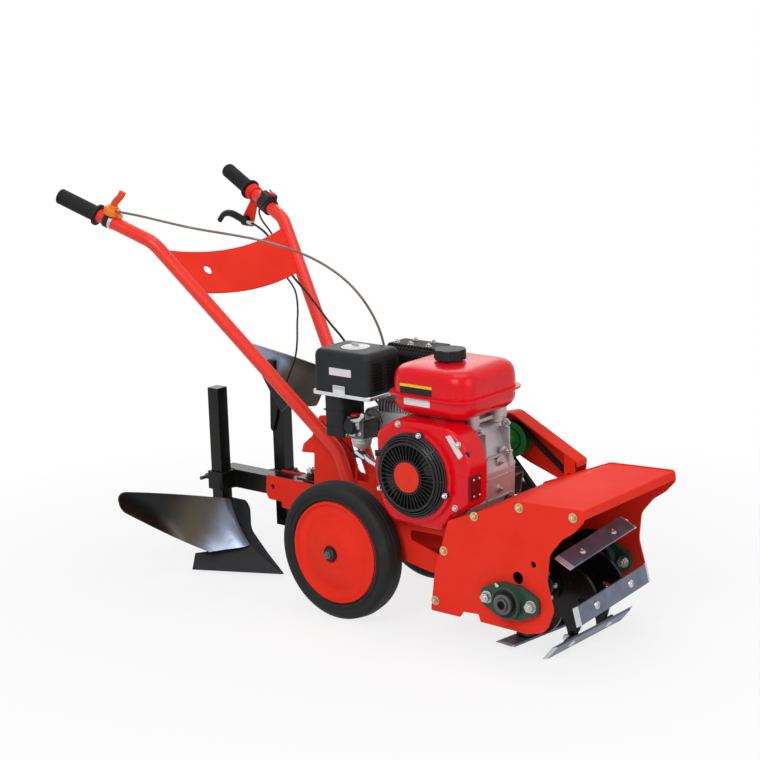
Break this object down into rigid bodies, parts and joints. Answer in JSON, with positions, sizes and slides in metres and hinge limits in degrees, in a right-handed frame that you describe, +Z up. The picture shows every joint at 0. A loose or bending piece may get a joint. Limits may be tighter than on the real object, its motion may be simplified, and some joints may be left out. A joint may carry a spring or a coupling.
{
  "type": "walk-behind power weeder",
  "caption": "Walk-behind motor cultivator on wheels, with a belt-driven rotor of flat blades in front, long handlebars and clamped ploughs behind.",
  "frame": {"origin": "on the ground, under the middle of the whole machine", "axes": "+X forward to the rotor end, +Y to the left of someone at the handlebars, +Z up"},
  "size_m": [1.2357, 0.5468, 0.8364],
  "materials": {
    "orange_paint": "gloss",
    "red_paint": "gloss",
    "black_paint": "gloss",
    "green_paint": "satin",
    "tyre_rubber": "matt",
    "grip_rubber": "ribbed",
    "belt_rubber": "matt",
    "cast_aluminium": "cast",
    "bright_steel": "worn",
    "dark_steel": "forged",
    "black_plastic": "grained",
    "orange_plastic": "moulded",
    "exhaust_black": "matt",
    "shaft_steel": "turned",
    "cable_black": "smooth",
    "cable_steel": "wound"
  },
  "bodies": {
    "frame": {"air_filter": "black_plastic", "belt": "belt_rubber", "belt_guard": "orange_paint", "belt_tensioner": "shaft_steel", "carburettor": "cast_aluminium", "clutch_bracket": "red_paint", "clutch_cable": "cable_black", "clutch_lever": "black_plastic", "cross_panel": "orange_paint", "drawbar": "black_paint", "drawbar_clamp": "black_paint", "drive_pulley": "shaft_steel", "engine_bed": "orange_paint", "engine_block": "cast_aluminium", "fan_shroud": "red_paint", "filter_base": "cast_aluminium", "frame_side_left": "orange_paint", "frame_side_right": "orange_paint", "frame_webs": "orange_paint", "fuel_cap": "black_plastic", "fuel_tank": "red_paint", "grip_left": "grip_rubber", "grip_right": "grip_rubber", "handlebar_left": "orange_paint", "handlebar_right": "orange_paint", "kill_switch": "black_plastic", "muffler": "exhaust_black", "recoil_starter": "black_paint", "rotor_bearings": "green_paint", "rotor_cover": "orange_paint", "rotor_side_left": "orange_paint", "rotor_side_right": "orange_paint", "switch_wire": "cable_black", "throttle_cable": "cable_steel", "throttle_lever": "orange_plastic", "wheel_axle": "shaft_steel"},
    "wheel_right": {"tyre_right": "tyre_rubber", "wheel_disc_right": "orange_paint"},
    "wheel_left": {"tyre_left": "tyre_rubber", "wheel_disc_left": "orange_paint"},
    "rotor": {"rotor_blades": "bright_steel", "rotor_disc_left": "black_paint", "rotor_disc_right": "black_paint", "rotor_pulley": "shaft_steel", "rotor_shaft": "shaft_steel"},
    "plough_rear": {"landside_rear": "dark_steel", "mouldboard_rear": "bright_steel", "post_rear": "black_paint", "share_rear": "black_paint"},
    "plough_front": {"landside_front": "dark_steel", "mouldboard_front": "bright_steel", "post_front": "black_paint", "share_front": "black_paint"}
  },
  "joints": [
    {"name": "wheel_right_spin", "type": "hinge", "parent": "frame", "child": "wheel_right", "pos_m": [0.042, -0.149, 0.14], "axis": [0, 1, 0], "continuous": true},
    {"name": "wheel_left_spin", "type": "hinge", "parent": "frame", "child": "wheel_left", "pos_m": [0.042, 0.149, 0.14], "axis": [0, 1, 0], "continuous": true},
    {"name": "rotor_spin", "type": "hinge", "parent": "frame", "child": "rotor", "pos_m": [0.462, 0, 0.121], "axis": [0, 1, 0], "continuous": true},
    {"name": "plough_rear_slide", "type": "slide", "parent": "frame", "child": "plough_rear", "axis": [0, 0, 1], "range_m": [-0.1, 0]},
    {"name": "plough_front_slide", "type": "slide", "parent": "frame", "child": "plough_front", "axis": [0, 0, 1], "range_m": [0, 0.05]}
  ]
}
